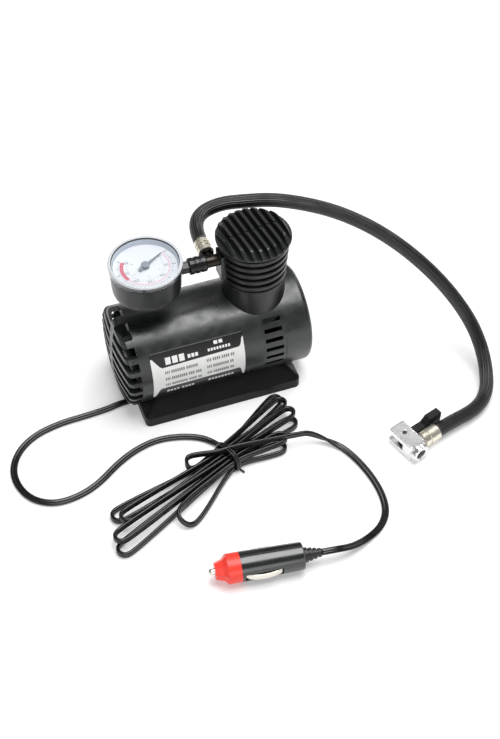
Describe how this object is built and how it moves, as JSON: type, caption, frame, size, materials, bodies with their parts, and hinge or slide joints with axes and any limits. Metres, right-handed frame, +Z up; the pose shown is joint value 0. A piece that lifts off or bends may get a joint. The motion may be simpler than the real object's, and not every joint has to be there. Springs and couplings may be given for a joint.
{
  "type": "portable tire inflator",
  "caption": "Small 12 V air pump: a drum housing on a foot, a finned head, a pressure gauge, an air hose with a lever chuck and a power lead with a plug",
  "frame": {"origin": "on the floor, at the middle of the box round the drum, foot, head and gauge", "axes": "+X along the drum away from its grille, +Y to the back, +Z up"},
  "size_m": [0.364, 0.2528, 0.1325],
  "materials": {
    "body_plastic": "dark grey moulded plastic, fine satin grain",
    "base_plastic": "black moulded plastic, satin",
    "gauge_black": "smooth black plastic",
    "clear_plastic": "clear moulded plastic",
    "dial_white": "white printed dial",
    "needle_paint": "grey-blue paint",
    "brass": "turned brass",
    "nickel": "nickel plate",
    "chuck_chrome": "chrome plate on a cast block",
    "steel": "plain steel",
    "cast_metal": "die-cast, satin",
    "copper": "copper wire and bars",
    "dark_steel": "stacked sheets and ferrite",
    "motor_plastic": "black moulded plastic",
    "carbon": "carbon blocks",
    "rubber": "black rubber",
    "lead_cover": "black soft vinyl",
    "black_plastic": "black moulded plastic",
    "red_plastic": "red moulded plastic",
    "fuse_glass": "glass tube with metal caps"
  },
  "bodies": {
    "pump": {"housing_front": "body_plastic", "housing_rear": "body_plastic", "finned_head": "body_plastic", "base_plate": "base_plastic", "gauge_case": "gauge_black", "gauge_lens": "clear_plastic", "gauge_dial": "dial_white", "gauge_movement": "brass", "bourdon_tube": "brass", "outlet_tee": "brass", "union_sleeve": "nickel", "hose_ferrule": "nickel", "chuck_ferrule": "nickel", "chuck_body": "chuck_chrome", "case_screws": "steel", "machine_screws": "steel", "gear_axle": "steel", "motor_can": "steel", "lever_pin": "steel", "fuse_spring": "steel", "valve_spring": "steel", "valve_plate": "steel", "frame": "cast_metal", "cylinder": "cast_metal", "cylinder_head": "cast_metal", "motor_magnets": "dark_steel", "motor_end_bell": "motor_plastic", "motor_brushes": "carbon", "air_hose": "rubber", "chuck_seal": "rubber", "cord_grommet": "rubber", "plug_relief": "rubber", "cord_lead": "lead_cover", "cord_hank": "lead_cover", "cord_tail": "lead_cover", "plug_body": "black_plastic", "hank_tie": "black_plastic", "plug_nose": "red_plastic"},
    "rotor": {"motor_shaft": "steel", "armature_core": "dark_steel", "armature_windings": "copper", "commutator": "copper"},
    "crank": {"crank_gear": "steel", "crank_pin": "steel"},
    "piston_group": {"piston": "cast_metal", "cup_seal": "rubber", "wrist_pin": "steel"},
    "rod": {"connecting_rod": "cast_metal", "rod_bearing": "steel"},
    "valve": {"outlet_valve": "steel"},
    "sector": {"gauge_sector": "brass"},
    "needle": {"gauge_needle": "needle_paint", "needle_arbor": "brass"},
    "lever": {"chuck_lever": "black_plastic"},
    "plunger": {"chuck_plunger": "steel"},
    "tip": {"plug_tip": "nickel", "plug_fuse": "fuse_glass"},
    "contact_front": {"side_contact_front": "nickel"},
    "contact_rear": {"side_contact_rear": "nickel"}
  },
  "joints": [
    {"name": "motor_spin", "type": "hinge", "parent": "pump", "child": "rotor", "pos_m": [-0.014, 0, 0.028], "axis": [1, 0, 0], "continuous": true},
    {"name": "crank_spin", "type": "hinge", "parent": "pump", "child": "crank", "pos_m": [0.027, 0, 0.048], "axis": [1, 0, 0], "continuous": true},
    {"name": "piston_slide", "type": "slide", "parent": "pump", "child": "piston_group", "axis": [0, 0, 1], "range_m": [0, 0.014]},
    {"name": "rod_swing", "type": "hinge", "parent": "piston_group", "child": "rod", "pos_m": [0.0377, 0, 0.081], "axis": [1, 0, 0], "range_deg": [-10.1, 10.1]},
    {"name": "valve_lift", "type": "slide", "parent": "pump", "child": "valve", "axis": [0, 0, 1], "range_m": [0, 0.0008], "stiffness_N_per_m": 60, "springref_m": -0.0005, "deforming": ["valve_spring"]},
    {"name": "sector_turn", "type": "hinge", "parent": "pump", "child": "sector", "pos_m": [-0.04185, -0.0168, 0.118], "axis": [0, 0, 1], "range_deg": [0, 40.8], "stiffness_Nm_per_rad": 0.002},
    {"name": "needle_turn", "type": "hinge", "parent": "pump", "child": "needle", "pos_m": [-0.04185, 0, 0.118], "axis": [0, 0, 1], "range_deg": [-245, 0]},
    {"name": "lever_flip", "type": "hinge", "parent": "pump", "child": "lever", "pos_m": [0.11093, -0.11793, 0.007], "axis": [0, 0, 1], "range_deg": [0, 90]},
    {"name": "plunger_slide", "type": "slide", "parent": "pump", "child": "plunger", "axis": [-0.309, 0.9511, 0], "range_m": [0, 0.00076]},
    {"name": "tip_press", "type": "slide", "parent": "pump", "child": "tip", "axis": [0.9912, -0.1323, 0], "range_m": [0, 0.0025], "stiffness_N_per_m": 600, "springref_m": -0.002},
    {"name": "contact_front_press", "type": "slide", "parent": "pump", "child": "contact_front", "axis": [0.1323, 0.9912, 0], "range_m": [0, 0.001], "stiffness_N_per_m": 800, "springref_m": -0.0008},
    {"name": "contact_rear_press", "type": "slide", "parent": "pump", "child": "contact_rear", "axis": [-0.1323, -0.9912, 0], "range_m": [0, 0.001], "stiffness_N_per_m": 800, "springref_m": -0.0008}
  ],
  "couplings": [
    {"joint": "crank_spin", "follows": "motor_spin", "ratio": -0.25},
    {"joint": "needle_turn", "follows": "sector_turn", "ratio": -6},
    {"joint": "plunger_slide", "follows": "lever_flip", "m_per_rad": 0.00047746}
  ]
}
